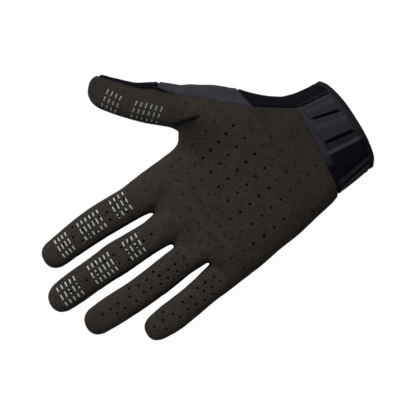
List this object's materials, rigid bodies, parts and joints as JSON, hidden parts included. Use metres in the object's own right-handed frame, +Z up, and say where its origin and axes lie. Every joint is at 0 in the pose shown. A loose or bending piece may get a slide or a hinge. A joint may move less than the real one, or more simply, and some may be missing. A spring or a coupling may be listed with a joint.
{
  "type": "cycling glove",
  "caption": "Right-hand full-finger cycling glove lying palm up, with a perforated suede palm, grip dashes on the fingertips and a padded slip-on cuff.",
  "frame": {"origin": "on the surface that the glove lies on, under the middle of the palm", "axes": "+Y from the wrist to the fingertips, +X towards the thumb, +Z up out of the palm"},
  "size_m": [0.1771, 0.2425, 0.026],
  "materials": {
    "suede": "matt microfibre suede, very dark warm grey",
    "knit": "matt stretch knit, black with a blue cast",
    "mesh": "matt spacer mesh, slate grey",
    "cuff": "satin moulded padding, charcoal",
    "silicone": "satin silicone print, light grey",
    "thread": "matt sewing thread, dark grey"
  },
  "bodies": {
    "root": {"palm_panel": "suede", "back_panel": "knit", "thumb_back": "knit", "thumb_side_panel": "mesh", "wrist_cuff": "cuff", "little_ring_fourchette": "knit", "ring_middle_fourchette": "knit", "middle_index_fourchette": "knit"}
  },
  "joints": []
}
